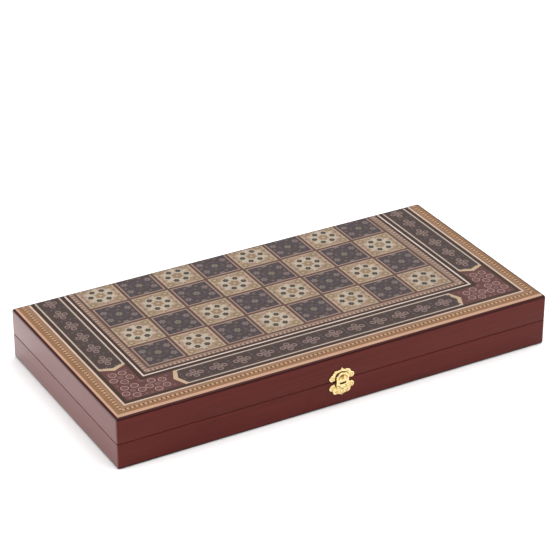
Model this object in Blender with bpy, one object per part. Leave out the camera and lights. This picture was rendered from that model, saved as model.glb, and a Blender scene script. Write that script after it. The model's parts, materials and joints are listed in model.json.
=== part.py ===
"""Folding wooden backgammon set, closed, with its checkers and dice inside.

Two shallow trays are joined by brass butt hinges along one long edge and held
shut by a small brass hasp on the other. Units are metres. +X runs along the
hinge edge, +Y from the hasp to the hinges and +Z up. The origin is the centre
of the base's underside.
"""

import math

import bmesh
import bpy
from mathutils import Matrix, Vector

MM = 0.001

# The closed box
LENGTH = 480 * MM
DEPTH = 240 * MM
HEIGHT = 55 * MM
WALL = 10 * MM
GAP = 0.3 * MM  # kept between pieces that touch
CORNER_RADIUS = 2.5 * MM  # the box's four upright edges
OUTER_EDGE_RADIUS = 2.4 * MM  # round the top and round the underside
SEAM_EDGE_RADIUS = 0.8 * MM
PANEL_INSET = 3.0 * MM  # from the box's side to the printed panel
PANEL_THICKNESS = 4.0 * MM
FIELD_THICKNESS = 2.5 * MM
RIM_CHAMFER = 0.5 * MM  # inner edge of each tray's rim

# Hinges
HINGE_X = 150 * MM
HINGE_LENGTH = 38 * MM
LEAF_WIDTH = 6.2 * MM
LEAF_THICKNESS = 1.0 * MM
KNUCKLE_RADIUS = 2.0 * MM
KNUCKLES = 5
KNUCKLE_CLEARANCE = 0.4 * MM  # between the knuckles and the wood or the other leaf
TAB_INSET = 0.1 * MM  # a knuckle's tab is this much thinner than its leaf, each side
HINGE_PIN_RADIUS = 0.8 * MM
PIN_CLEARANCE = 0.1 * MM
SCREW_X = 11 * MM  # from the middle of the hinge
SCREW_HEAD_RADIUS = 2.0 * MM
SCREW_SHANK_RADIUS = 1.0 * MM
SCREW_LENGTH = 8 * MM
SCREW_PROUD = 0.05 * MM

# Clasp. Its heights are measured from the seam.
PLATE_THICKNESS = 0.8 * MM
HASP_THICKNESS = 0.8 * MM
HASP_HALF_WIDTH = 7.0 * MM
HASP_SHOULDER = 4.0 * MM
HASP_TOP = 9.0 * MM
HASP_PIVOT = -6.8 * MM
HASP_KNUCKLE_RADIUS = 1.3 * MM
HASP_KNUCKLE_HALF_WIDTH = 3.2 * MM
HASP_ROOT_INSET = 0.2 * MM  # the hasp's root is this much narrower than its knuckle, each side
HASP_PIN_RADIUS = 0.5 * MM
HASP_SLOT_HALF_WIDTH = 3.4 * MM
HASP_SLOT_LOW = -4.2 * MM
HASP_SLOT_HIGH = -3.0 * MM
NOSE_HEIGHT = 3.0 * MM
NOSE_RADIUS = 2.6 * MM
NOSE_TIP_RADIUS = 1.6 * MM
NAIL_X = 10.4 * MM
LID_NAIL_HEIGHT = 4.0 * MM
BASE_NAIL_HEIGHT = -7.0 * MM
NAIL_HEAD_RADIUS = 1.2 * MM
NAIL_HEAD_THICKNESS = 0.5 * MM
NAIL_SHANK_RADIUS = 0.5 * MM
NAIL_LENGTH = 6 * MM

# Checkers and dice
CHECKER_RADIUS = 15 * MM
CHECKER_THICKNESS = 9 * MM
CHECKER_CHAMFER = 1.2 * MM
CHECKER_ROWS = (6, 6, 3)  # how many lie across the tray in each row
CHECKER_FIRST_ROW = 19 * MM  # from the end of the tray to the first row's centres
CHECKER_ROW_PITCH = 33 * MM
POINTS_PER_END = 6
DIE_SIZE = 14 * MM
DIE_ROUNDING = 1.2 * MM
DIE_PITCH = 26 * MM

# Worked out from the dimensions above
MIDDLE = HEIGHT / 2
BASE_RIM = MIDDLE - GAP / 2
FIELD_FLOOR = PANEL_THICKNESS + GAP
FIELD_TOP = FIELD_FLOOR + FIELD_THICKNESS
INNER_LENGTH = LENGTH - 2 * WALL
INNER_DEPTH = DEPTH - 2 * WALL
HINGE_AXIS_Y = DEPTH / 2 + GAP
LEAF_EDGE_Y = HINGE_AXIS_Y - KNUCKLE_RADIUS - KNUCKLE_CLEARANCE
PLATE_FRONT_Y = -DEPTH / 2 - GAP - PLATE_THICKNESS
HASP_AXIS_Y = PLATE_FRONT_Y - GAP - HASP_KNUCKLE_RADIUS
HASP_AXIS_Z = MIDDLE + HASP_PIVOT
NOSE_PROUD = HASP_KNUCKLE_RADIUS - HASP_THICKNESS / 2  # ends one gap short of the hasp

# How finely curves are drawn
ARC_STEPS = 3
TUBE_SIDES = 16
SCREW_SIDES = 12
NAIL_SIDES = 10
CHECKER_SIDES = 20


# ---------------------------------------------------------------- scene tools


def clear_scene():
    for obj in list(bpy.data.objects):
        bpy.data.objects.remove(obj, do_unlink=True)


def make_material(name, color, roughness, metallic=0.0):
    material = bpy.data.materials.new(name)
    material.use_nodes = True
    shader = material.node_tree.nodes["Principled BSDF"]
    shader.inputs["Base Color"].default_value = (*color, 1.0)
    shader.inputs["Roughness"].default_value = roughness
    shader.inputs["Metallic"].default_value = metallic
    material.diffuse_color = (*color, 1.0)
    return material


def add_empty(name, location):
    empty = bpy.data.objects.new(name, None)
    empty.location = location
    bpy.context.collection.objects.link(empty)
    return empty


def add_object(name, bm, material, origin=(0, 0, 0), parent=None):
    """Turns bm, in world coordinates, into an object with its origin at the given place."""
    bmesh.ops.recalc_face_normals(bm, faces=bm.faces)
    bm.transform(Matrix.Translation(-Vector(origin)))
    mesh = bpy.data.meshes.new(name)
    bm.to_mesh(mesh)
    bm.free()
    mesh.shade_smooth()
    mesh.set_sharp_from_angle(angle=math.radians(35))
    if material:
        mesh.materials.append(material)
    obj = bpy.data.objects.new(name, mesh)
    obj.location = Vector(origin)
    if parent:
        obj.parent = parent
        obj.location -= parent.location
    bpy.context.collection.objects.link(obj)
    return obj


def boolean(obj, name, bm, operation):
    """Cuts bm, in world coordinates, from obj, or joins it to obj."""
    tool = add_object(name, bm, None)
    tool.hide_render = True
    tool.display_type = "WIRE"
    modifier = obj.modifiers.new(name, "BOOLEAN")
    modifier.operation = operation
    modifier.solver = "EXACT"
    modifier.object = tool


def cut(obj, name, bm):
    boolean(obj, name, bm, "DIFFERENCE")


def join(obj, name, bm):
    boolean(obj, name, bm, "UNION")


# ---------------------------------------------------------------- basic solids


def box(low, high):
    bm = bmesh.new()
    size = Vector(high) - Vector(low)
    middle = (Vector(high) + Vector(low)) / 2
    bmesh.ops.create_cube(bm, size=1.0, matrix=Matrix.Translation(middle) @ Matrix.Diagonal((*size, 1)))
    return bm


def prism(outline, start, end, place):
    """Extrudes a flat outline from start to end; place(a, b, along) gives each corner."""
    bm = bmesh.new()
    near = [bm.verts.new(place(a, b, start)) for a, b in outline]
    far = [bm.verts.new(place(a, b, end)) for a, b in outline]
    bm.faces.new(near)
    bm.faces.new(far)
    for i in range(len(outline)):
        k = (i + 1) % len(outline)
        bm.faces.new((near[i], near[k], far[k], far[i]))
    return bm


def along_x(a, b, x):
    return (x, a, b)


def along_y(a, b, y):
    return (a, y, b)


def turned(profile, sides, matrix=None):
    """A closed solid of revolution about Z from (radius, height) points, both ends flat."""
    bm = bmesh.new()
    rings = []
    for radius, height in profile:
        angles = [2 * math.pi * i / sides for i in range(sides)]
        rings.append([bm.verts.new((radius * math.cos(a), radius * math.sin(a), height)) for a in angles])
    for low, high in zip(rings, rings[1:]):
        for i in range(sides):
            k = (i + 1) % sides
            bm.faces.new((low[i], low[k], high[k], high[i]))
    bm.faces.new(rings[0])
    bm.faces.new(rings[-1])
    if matrix:
        bm.transform(matrix)
    return bm


def rod(radius, length, centre, axis, sides=TUBE_SIDES):
    """A cylinder along the X, Y or Z axis."""
    turns = {"X": Matrix.Rotation(math.pi / 2, 4, "Y"), "Y": Matrix.Rotation(math.pi / 2, 4, "X")}
    matrix = Matrix.Translation(centre) @ turns.get(axis, Matrix.Identity(4))
    return turned([(radius, -length / 2), (radius, length / 2)], sides, matrix)


def arc(centre, radius, start, end, steps):
    """Points on an arc, from start to end in degrees."""
    points = []
    for i in range(steps + 1):
        angle = math.radians(start + (end - start) * i / steps)
        points.append((centre[0] + radius * math.cos(angle), centre[1] + radius * math.sin(angle)))
    return points


# ---------------------------------------------------------------- the two trays


def rail_profile(is_lid):
    """A rail's cross-section as (depth in from the box's side, height) points."""
    edge = OUTER_EDGE_RADIUS
    seam = SEAM_EDGE_RADIUS
    rebate = PANEL_INSET - GAP
    points = arc((edge, edge), edge, 180, 270, ARC_STEPS)
    points += [(rebate, 0), (rebate, FIELD_FLOOR), (WALL, FIELD_FLOOR)]
    points += [(WALL, BASE_RIM - RIM_CHAMFER), (WALL - RIM_CHAMFER, BASE_RIM)]
    points += arc((seam, BASE_RIM - seam), seam, 90, 180, ARC_STEPS)
    if is_lid:
        points = [(depth, HEIGHT - height) for depth, height in points]
    return points


def rail_stations(half_length, half_depth, depth):
    """The way along a rail at one depth: out of one rounded corner, straight, into the next."""
    shortening = GAP / math.sqrt(2)
    radius = max(CORNER_RADIUS - depth, 0)
    centre = max(CORNER_RADIUS, depth)
    stations = []
    for end in (-1, 1):
        for step in range(ARC_STEPS + 1):
            fraction = step / ARC_STEPS if end > 0 else 1 - step / ARC_STEPS
            turn = math.radians(45 * fraction)
            along = half_length - centre + radius * math.sin(turn) - shortening
            stations.append((end * along, centre - half_depth - radius * math.cos(turn)))
    return stations


def rail_solid(half_length, half_depth, profile):
    """One mitred side of a tray's frame, along X on the -Y side."""
    bm = bmesh.new()
    corners = {}

    def corner(point):
        key = tuple(round(value, 7) for value in point)
        if key not in corners:
            corners[key] = bm.verts.new(point)
        return corners[key]

    def face(points):
        loop = list(dict.fromkeys(points))
        if len(loop) > 2:
            bm.faces.new(loop)

    lines = []
    for depth, height in profile:
        stations = rail_stations(half_length, half_depth, depth)
        lines.append([corner((x, y, height)) for x, y in stations])
    for here, there in zip(lines, lines[1:] + lines[:1]):
        for k in range(len(here) - 1):
            face((here[k], here[k + 1], there[k + 1], there[k]))
    face([line[0] for line in lines])
    face([line[-1] for line in lines])
    return bm


def add_rail(half, side, turn, parent, material):
    runs_long = side in ("front", "back")
    half_length = (LENGTH if runs_long else DEPTH) / 2
    half_depth = (DEPTH if runs_long else LENGTH) / 2
    bm = rail_solid(half_length, half_depth, rail_profile(half == "lid"))
    bm.transform(Matrix.Rotation(math.radians(turn), 4, "Z"))
    origin = parent.location if parent else (0, 0, 0)
    return add_object(f"{half}_{side}_rail", bm, material, origin, parent)


def board(half, low, thickness, length, depth):
    """A flat board from low to low + thickness in the base, or as high above it in the lid."""
    top = low + thickness
    if half == "lid":
        low, top = HEIGHT - top, HEIGHT - low
    return box((-length / 2, -depth / 2, low), (length / 2, depth / 2, top))


def add_tray(half, parent, wood, print_top, print_field):
    """Four rails, the printed outer panel and the playing field. Returns the rails."""
    rails = {}
    for side, turn in (("front", 0), ("right", 90), ("back", 180), ("left", 270)):
        rails[side] = add_rail(half, side, turn, parent, wood)
    origin = parent.location if parent else (0, 0, 0)
    panel = board(half, 0, PANEL_THICKNESS, LENGTH - 2 * PANEL_INSET, DEPTH - 2 * PANEL_INSET)
    add_object(f"{half}_panel", panel, print_top, origin, parent)
    field = board(half, FIELD_FLOOR, FIELD_THICKNESS, INNER_LENGTH - 2 * GAP, INNER_DEPTH - 2 * GAP)
    add_object(f"{half}_playing_field", field, print_field, origin, parent)
    return rails


# ---------------------------------------------------------------- hinges


def knuckle_outline(is_lid):
    """A knuckle and the tab that joins it to its leaf, as (y, z) points."""
    low = math.degrees(math.asin((GAP / 2 + LEAF_THICKNESS - TAB_INSET) / KNUCKLE_RADIUS))
    high = math.degrees(math.asin((GAP / 2 + TAB_INSET) / KNUCKLE_RADIUS))
    points = arc((0, 0), KNUCKLE_RADIUS, 180 + low, 540 + high, TUBE_SIDES)
    tab_end = -KNUCKLE_RADIUS - KNUCKLE_CLEARANCE - LEAF_THICKNESS
    points += [(tab_end, points[-1][1]), (tab_end, points[0][1])]
    up = -1 if is_lid else 1
    return [(HINGE_AXIS_Y + y, MIDDLE + up * z) for y, z in points]


def knuckle_span(x, number):
    """Where along X a numbered knuckle of the hinge at x lies."""
    pitch = HINGE_LENGTH / KNUCKLES
    start = x - HINGE_LENGTH / 2 + number * pitch
    return start + GAP / 2, start + pitch - GAP / 2


def screw():
    """A screw as (radius, height above the leaf's face) points, its head just proud of the leaf."""
    middle = -LEAF_THICKNESS / 2
    shank = [(SCREW_SHANK_RADIUS, -SCREW_LENGTH), (SCREW_SHANK_RADIUS, middle)]
    return shank + [(SCREW_HEAD_RADIUS, middle), (SCREW_HEAD_RADIUS, SCREW_PROUD)]


def screw_places(x, is_lid):
    """Where the screws of one leaf go in, as matrices."""
    y = LEAF_EDGE_Y - LEAF_WIDTH / 2
    up = Matrix.Rotation(math.pi, 4, "X") if is_lid else Matrix.Identity(4)
    face = MIDDLE + (GAP / 2 if is_lid else -GAP / 2)
    return [Matrix.Translation((x + side * SCREW_X, y, face)) @ up for side in (-1, 1)]


def add_hinge_leaf(half, number, x, parent, brass):
    """A leaf with its knuckles and, as one solid with it, its two screws."""
    is_lid = half == "lid"
    up = 1 if is_lid else -1
    faces = sorted((MIDDLE + up * GAP / 2, MIDDLE + up * (GAP / 2 + LEAF_THICKNESS)))
    low = (x - HINGE_LENGTH / 2, LEAF_EDGE_Y - LEAF_WIDTH, faces[0])
    high = (x + HINGE_LENGTH / 2, LEAF_EDGE_Y, faces[1])
    origin = parent.location if parent else (x, HINGE_AXIS_Y, MIDDLE)
    leaf = add_object(f"{half}_hinge_leaf_{number}", box(low, high), brass, origin, parent)
    for knuckle in range(1 if is_lid else 0, KNUCKLES, 2):
        start, end = knuckle_span(x, knuckle)
        tool = prism(knuckle_outline(is_lid), start, end, along_x)
        join(leaf, f"{half}_knuckle_{number}_{knuckle}", tool)
    bore = rod(HINGE_PIN_RADIUS + PIN_CLEARANCE, HINGE_LENGTH + WALL, (x, HINGE_AXIS_Y, MIDDLE), "X")
    cut(leaf, f"{half}_hinge_bore_{number}", bore)
    for side, place in enumerate(screw_places(x, is_lid)):
        join(leaf, f"{half}_screw_{number}_{side}", turned(screw(), SCREW_SIDES, place))


def cut_hinge_seat(rail, half, number, x):
    """The recess for a leaf, the clearance round the knuckles and the screws' pilot holes."""
    is_lid = half == "lid"
    up = 1 if is_lid else -1
    span = HINGE_LENGTH / 2 + GAP
    floor = up * (GAP / 2 + LEAF_THICKNESS + GAP)
    beyond = -up * WALL
    heights = sorted((MIDDLE + floor, MIDDLE + beyond))
    inner = LEAF_EDGE_Y - LEAF_WIDTH - GAP
    seat = box((x - span, inner, heights[0]), (x + span, HINGE_AXIS_Y + WALL, heights[1]))
    cut(rail, f"{half}_seat_{number}", seat)
    notch = rod(KNUCKLE_RADIUS + KNUCKLE_CLEARANCE, 2 * span, (x, HINGE_AXIS_Y, MIDDLE), "X")
    cut(rail, f"{half}_notch_{number}", notch)
    for side, place in enumerate(screw_places(x, is_lid)):
        radius = SCREW_SHANK_RADIUS + GAP
        pilot = [(radius, -SCREW_LENGTH - GAP), (radius, WALL)]
        cut(rail, f"{half}_pilot_{number}_{side}", turned(pilot, SCREW_SIDES, place))


def add_hinges(base_rail, lid_rail, lid, brass, steel):
    for number, x in ((1, -HINGE_X), (2, HINGE_X)):
        add_hinge_leaf("base", number, x, None, brass)
        add_hinge_leaf("lid", number, x, lid, brass)
        centre = (x, HINGE_AXIS_Y, MIDDLE)
        pin = rod(HINGE_PIN_RADIUS, HINGE_LENGTH, centre, "X")
        add_object(f"hinge_pin_{number}", pin, steel, centre)
        cut_hinge_seat(base_rail, "base", number, x)
        cut_hinge_seat(lid_rail, "lid", number, x)


# ---------------------------------------------------------------- clasp


def mirrored(right_half):
    """Completes an outline that starts and ends on the middle line."""
    return right_half + [(-x, z) for x, z in reversed(right_half[1:-1])]


def lid_plate_outline():
    """The scalloped plate above the seam, as (x, height above the seam) points."""
    points = [(0, 0.5), (8.4, 0.5)]
    points += arc((10.9, 3.6), 3.2, -130, 60, 6)
    points += arc((6.3, 7.4), 3.9, 0, 100, 5)
    points += [(2.4, 11.9), (1.0, 12.9), (0, 13.8)]
    return [(x * MM, z * MM) for x, z in mirrored(points)]


def base_plate_outline():
    """The scalloped plate below the seam."""
    points = [(0, -17.5), (1.4, -16.4), (3.4, -15.5)]
    points += arc((6.6, -11.8), 3.6, -110, 15, 5)
    points += arc((10.4, -7.2), 3.7, -45, 100, 6)
    points += [(8.4, -2.6), (8.0, -0.8), (0, -0.8)]
    return [(x * MM, z * MM) for x, z in mirrored(points)]


def hasp_outline():
    """The hasp: a narrow root at its knuckle, straight sides and an arched free end."""
    root = HASP_KNUCKLE_HALF_WIDTH - HASP_ROOT_INSET
    step = HASP_PIVOT + HASP_KNUCKLE_RADIUS + GAP
    points = [(0, HASP_PIVOT), (root, HASP_PIVOT), (root, step), (HASP_HALF_WIDTH, step)]
    arch = HASP_TOP - HASP_SHOULDER
    for i in range(7):
        angle = math.radians(15 * i)
        points.append((HASP_HALF_WIDTH * math.cos(angle), HASP_SHOULDER + arch * math.sin(angle)))
    return mirrored(points)


def nail_places(height):
    """Matrices that turn +Z out of the box's front, on the plate's face."""
    out = Matrix.Rotation(math.pi / 2, 4, "X")
    left = Matrix.Translation((-NAIL_X, PLATE_FRONT_Y, MIDDLE + height)) @ out
    right = Matrix.Translation((NAIL_X, PLATE_FRONT_Y, MIDDLE + height)) @ out
    return {"left": left, "right": right}


def nail(place):
    """A round-headed nail as one solid, its head one gap in front of the plate."""
    profile = [
        (NAIL_SHANK_RADIUS, -NAIL_LENGTH),
        (NAIL_SHANK_RADIUS, GAP),
        (NAIL_HEAD_RADIUS, GAP),
        (0.8 * NAIL_HEAD_RADIUS, GAP + 0.7 * NAIL_HEAD_THICKNESS),
        (0.4 * NAIL_HEAD_RADIUS, GAP + NAIL_HEAD_THICKNESS),
    ]
    return turned(profile, NAIL_SIDES, place)


def add_plate(half, outline, nail_height, rail, parent, brass):
    """One plate of the clasp with its two nails, and their holes in the rail."""
    faces = (PLATE_FRONT_Y, PLATE_FRONT_Y + PLATE_THICKNESS)
    solid = prism([(x, MIDDLE + z) for x, z in outline], *faces, along_y)
    origin = parent.location if parent else (0, PLATE_FRONT_Y, MIDDLE)
    plate = add_object(f"{half}_clasp_plate", solid, brass, origin, parent)
    radius = NAIL_SHANK_RADIUS + GAP
    hole = [(radius, -NAIL_LENGTH - GAP), (radius, WALL)]
    for name, place in nail_places(nail_height).items():
        cut(plate, f"{half}_nail_hole_{name}", turned(hole, NAIL_SIDES, place))
        cut(rail, f"{half}_nail_pilot_{name}", turned(hole, NAIL_SIDES, place))
        add_object(f"{half}_clasp_nail_{name}", nail(place), brass, origin, parent)
    return plate


def add_nose(plate):
    """The low boss on the lid's plate that the hasp closes over."""
    out = Matrix.Rotation(math.pi / 2, 4, "X")
    place = Matrix.Translation((0, PLATE_FRONT_Y, MIDDLE + NOSE_HEIGHT)) @ out
    shoulder = NOSE_PROUD / 4
    profile = [(NOSE_RADIUS, -PLATE_THICKNESS / 2), (NOSE_RADIUS, shoulder), (NOSE_TIP_RADIUS, NOSE_PROUD)]
    join(plate, "nose", turned(profile, TUBE_SIDES, place))


def add_ears(plate):
    """Two curled ears on the base's plate that hold the hasp's pin."""
    radius = HASP_KNUCKLE_RADIUS
    root = PLATE_FRONT_Y + PLATE_THICKNESS / 2
    outline = arc((HASP_AXIS_Y, HASP_AXIS_Z), radius, -5, 270, TUBE_SIDES)
    outline += [(root, outline[-1][1]), (root, outline[0][1])]
    for name, side in (("left", -1), ("right", 1)):
        ends = (side * (HASP_KNUCKLE_HALF_WIDTH + GAP), side * HASP_HALF_WIDTH)
        join(plate, f"ear_{name}", prism(outline, *ends, along_x))
    bore = rod(HASP_PIN_RADIUS + PIN_CLEARANCE, 4 * HASP_HALF_WIDTH, (0, HASP_AXIS_Y, HASP_AXIS_Z), "X")
    cut(plate, "ear_bore", bore)


def add_hasp(brass):
    """The swinging hasp, with the slot that springs over the nose, and its pin."""
    axis = (0, HASP_AXIS_Y, HASP_AXIS_Z)
    faces = (HASP_AXIS_Y - HASP_THICKNESS / 2, HASP_AXIS_Y + HASP_THICKNESS / 2)
    solid = prism([(x, MIDDLE + z) for x, z in hasp_outline()], *faces, along_y)
    hasp = add_object("hasp", solid, brass, axis)
    knuckle = rod(HASP_KNUCKLE_RADIUS, 2 * HASP_KNUCKLE_HALF_WIDTH, axis, "X")
    join(hasp, "hasp_knuckle", knuckle)
    cut(hasp, "hasp_bore", rod(HASP_PIN_RADIUS + PIN_CLEARANCE, 4 * HASP_HALF_WIDTH, axis, "X"))
    low = (-HASP_SLOT_HALF_WIDTH, faces[0] - WALL, MIDDLE + HASP_SLOT_LOW)
    high = (HASP_SLOT_HALF_WIDTH, faces[1] + WALL, MIDDLE + HASP_SLOT_HIGH)
    cut(hasp, "hasp_slot", box(low, high))
    pin = rod(HASP_PIN_RADIUS, 2 * HASP_HALF_WIDTH, axis, "X")
    add_object("hasp_pin", pin, brass, axis)


def add_clasp(base_rail, lid_rail, lid, brass):
    lid_plate = add_plate("lid", lid_plate_outline(), LID_NAIL_HEIGHT, lid_rail, lid, brass)
    add_nose(lid_plate)
    base_plate = add_plate("base", base_plate_outline(), BASE_NAIL_HEIGHT, base_rail, None, brass)
    add_ears(base_plate)
    add_hasp(brass)


# ---------------------------------------------------------------- checkers and dice


def checker_places():
    """Centres of one side's checkers, from the end of the tray inwards."""
    point_pitch = INNER_DEPTH / POINTS_PER_END
    places = []
    for row, count in enumerate(CHECKER_ROWS):
        from_middle = INNER_LENGTH / 2 - CHECKER_FIRST_ROW - row * CHECKER_ROW_PITCH
        first = (POINTS_PER_END - count) // 2
        for k in range(count):
            y = (first + k - (POINTS_PER_END - 1) / 2) * point_pitch
            places.append((from_middle, y))
    return places


def add_checkers(name, side, material):
    half = CHECKER_THICKNESS / 2
    rim = CHECKER_RADIUS - CHECKER_CHAMFER
    edge = half - CHECKER_CHAMFER
    profile = [(rim, -half), (CHECKER_RADIUS, -edge), (CHECKER_RADIUS, edge), (rim, half)]
    for number, (x, y) in enumerate(checker_places(), start=1):
        centre = (side * x, y, FIELD_TOP + GAP + half)
        solid = turned(profile, CHECKER_SIDES, Matrix.Translation(centre))
        add_object(f"{name}_{number:02d}", solid, material, centre)


def add_dice(material):
    half = DIE_SIZE / 2
    for number, x in ((1, -DIE_PITCH / 2), (2, DIE_PITCH / 2)):
        centre = Vector((x, 0, FIELD_TOP + GAP + half))
        solid = box(centre - Vector((half, half, half)), centre + Vector((half, half, half)))
        bmesh.ops.bevel(solid, geom=solid.edges[:], offset=DIE_ROUNDING, segments=1, affect="EDGES")
        add_object(f"die_{number}", solid, material, centre)


# ---------------------------------------------------------------- the whole set


def build():
    clear_scene()
    wood = make_material("lacquered_wood", (0.16, 0.030, 0.020), 0.25)
    print_top = make_material("printed_panel", (0.20, 0.13, 0.09), 0.30)
    print_field = make_material("printed_field", (0.45, 0.29, 0.15), 0.35)
    brass = make_material("brass", (0.86, 0.62, 0.24), 0.22, 1.0)
    steel = make_material("pin_steel", (0.60, 0.58, 0.54), 0.35, 1.0)
    light = make_material("light_checker", (0.74, 0.56, 0.34), 0.35)
    dark = make_material("dark_checker", (0.13, 0.045, 0.022), 0.35)
    ivory = make_material("die_plastic", (0.86, 0.83, 0.74), 0.25)

    lid = add_empty("lid_axis", (0, HINGE_AXIS_Y, MIDDLE))
    base_rails = add_tray("base", None, wood, print_top, print_field)
    lid_rails = add_tray("lid", lid, wood, print_top, print_field)
    add_hinges(base_rails["back"], lid_rails["back"], lid, brass, steel)
    add_clasp(base_rails["front"], lid_rails["front"], lid, brass)
    add_checkers("light_checker", -1, light)
    add_checkers("dark_checker", 1, dark)
    add_dice(ivory)


build()
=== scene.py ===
"""The looks of the folding backgammon set: print, lacquer, brass, checkers, light and camera.

Lengths are in metres, in the CAD's own frame: +X along the hinges, +Y from the
hasp to the hinges, +Z up, with the origin under the middle of the box.
"""

import json
import math

import bmesh
import bpy
from mathutils import Matrix, Vector, geometry


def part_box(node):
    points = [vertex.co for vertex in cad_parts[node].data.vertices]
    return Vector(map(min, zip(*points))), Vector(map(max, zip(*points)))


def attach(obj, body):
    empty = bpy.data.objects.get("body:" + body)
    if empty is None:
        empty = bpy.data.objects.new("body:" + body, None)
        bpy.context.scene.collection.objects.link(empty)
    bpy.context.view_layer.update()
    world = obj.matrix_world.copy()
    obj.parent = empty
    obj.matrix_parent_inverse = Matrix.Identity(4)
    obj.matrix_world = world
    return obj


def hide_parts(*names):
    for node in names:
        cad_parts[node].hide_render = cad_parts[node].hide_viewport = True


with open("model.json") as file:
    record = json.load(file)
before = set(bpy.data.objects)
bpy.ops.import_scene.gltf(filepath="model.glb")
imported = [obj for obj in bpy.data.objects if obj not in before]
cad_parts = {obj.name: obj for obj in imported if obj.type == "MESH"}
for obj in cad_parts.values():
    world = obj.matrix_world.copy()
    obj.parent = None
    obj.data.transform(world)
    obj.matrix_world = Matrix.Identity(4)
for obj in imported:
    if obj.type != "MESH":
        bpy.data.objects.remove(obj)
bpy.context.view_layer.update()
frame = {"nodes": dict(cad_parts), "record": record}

MM = 0.001


def joint_axis(name):
    """A point on a joint's axis."""
    joints = frame["record"]["behaviour"]["joints"]
    return Vector(next(joint for joint in joints if joint["name"] == name)["pos_m"])


# Places read from the frame
RAIL_LOW, RAIL_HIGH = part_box("base_front_rail")
HALF_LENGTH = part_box("lid_right_rail")[1].x
HALF_DEPTH = -RAIL_LOW.y
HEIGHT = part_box("lid_front_rail")[1].z
WALL = RAIL_HIGH.y - RAIL_LOW.y
RIM = RAIL_HIGH.z
HINGE_AXIS = joint_axis("lid_open")
HASP_AXIS = joint_axis("hasp_swing")
MIDDLE = HINGE_AXIS.z
FIELD_LOW, FIELD_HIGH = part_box("base_playing_field")


# ---- scene and mesh tools


def link(name, data):
    """A new object in the scene."""
    obj = bpy.data.objects.new(name, data)
    bpy.context.collection.objects.link(obj)
    return obj


def new_mesh(name, bm, materials, smooth_angle=40):
    """Turns bm into a mesh, smooth except at edges sharper than the angle."""
    mesh = bpy.data.meshes.new(name)
    bm.to_mesh(mesh)
    bm.free()
    for material in materials:
        mesh.materials.append(material)
    mesh.shade_smooth()
    mesh.set_sharp_from_angle(angle=math.radians(smooth_angle))
    return mesh


def finish_mesh(name, bm, materials, smooth_angle=40):
    """Turns bm into an object at the origin."""
    return link(name, new_mesh(name, bm, materials, smooth_angle))


def outward(bm):
    bmesh.ops.recalc_face_normals(bm, faces=bm.faces)
    return bm


def place(obj, body, slot, *nodes):
    """obj moves with a body and stands for the CAD nodes, which it hides. The slot is not used."""
    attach(obj, body)
    if nodes:
        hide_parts(*nodes)


def pairs(items):
    """Each item with the next one, round a closed loop."""
    return zip(items, items[1:] + items[:1])


def anticlockwise(points):
    area = sum(a[0] * b[1] - b[0] * a[1] for a, b in pairs(points))
    return points if area > 0 else points[::-1]


def polar(centre, radius, degrees):
    """The point that lies so far from a centre, in that direction."""
    angle = math.radians(degrees)
    return centre[0] + radius * math.cos(angle), centre[1] + radius * math.sin(angle)


def arc(centre, radius, start, end, steps):
    """Points on an arc, from start to end in degrees."""
    return [polar(centre, radius, start + (end - start) * i / steps) for i in range(steps + 1)]


def about(centre, turn, u, v):
    """Where (u, v) lies once it is turned by so many degrees and carried to a centre."""
    c, s = math.cos(math.radians(turn)), math.sin(math.radians(turn))
    return centre[0] + c * u - s * v, centre[1] + s * u + c * v


def triangulated(outlines, spots, tolerance):
    """Cuts the plane along closed outlines and through spots. Returns points, triangles, and the numbers of
    the outlines round each triangle."""
    coordinates, loops = [], []
    for outline in outlines:
        loops.append(list(range(len(coordinates), len(coordinates) + len(outline))))
        coordinates += outline
    coordinates = [Vector(point) for point in coordinates + spots]
    verts, _, faces, _, _, owners = geometry.delaunay_2d_cdt(coordinates, [], loops, 1, tolerance, True)
    return verts, faces, owners


def middle_of(verts, face):
    return sum((verts[i] for i in face), Vector((0, 0))) / len(face)


def extruded_rim(bm):
    """Pulls a new wall out of the open edges. Its new points still lie on the old ones."""
    return bmesh.ops.extrude_edge_only(bm, edges=[edge for edge in bm.edges if edge.is_boundary])["geom"]


def box_solid(low, high):
    bm = bmesh.new()
    low, high = Vector(low), Vector(high)
    matrix = Matrix.Translation((high + low) / 2) @ Matrix.Diagonal((*(high - low), 1))
    bmesh.ops.create_cube(bm, size=1.0, matrix=matrix)
    return bm


def closed_sweep(bm, rings):
    """Joins rings of points to each other, and the last one to the first."""
    for ring, after in pairs(rings):
        for (a, b), (c, d) in zip(pairs(ring), pairs(after)):
            bm.faces.new((a, c, d, b))
    return bm


def turned(profile, sides, matrix=Matrix()):
    """A solid of revolution about Z, from (radius, height) in mm. A radius of 0 closes it to a point."""
    bm = bmesh.new()
    rings = []
    for radius, height in profile:
        if radius == 0:
            rings.append([bm.verts.new((0, 0, height * MM))] * sides)
        else:
            spots = [polar((0, 0), radius * MM, 360 * i / sides) for i in range(sides)]
            rings.append([bm.verts.new((*spot, height * MM)) for spot in spots])
    for low, high in zip(rings, rings[1:]):
        for i in range(sides):
            k = (i + 1) % sides
            bm.faces.new(list(dict.fromkeys((low[i], low[k], high[k], high[i]))))
    for ring in (rings[0], rings[-1]):
        if ring[0] is not ring[1]:
            bm.faces.new(ring)
    bm.transform(matrix)
    return outward(bm)


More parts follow.
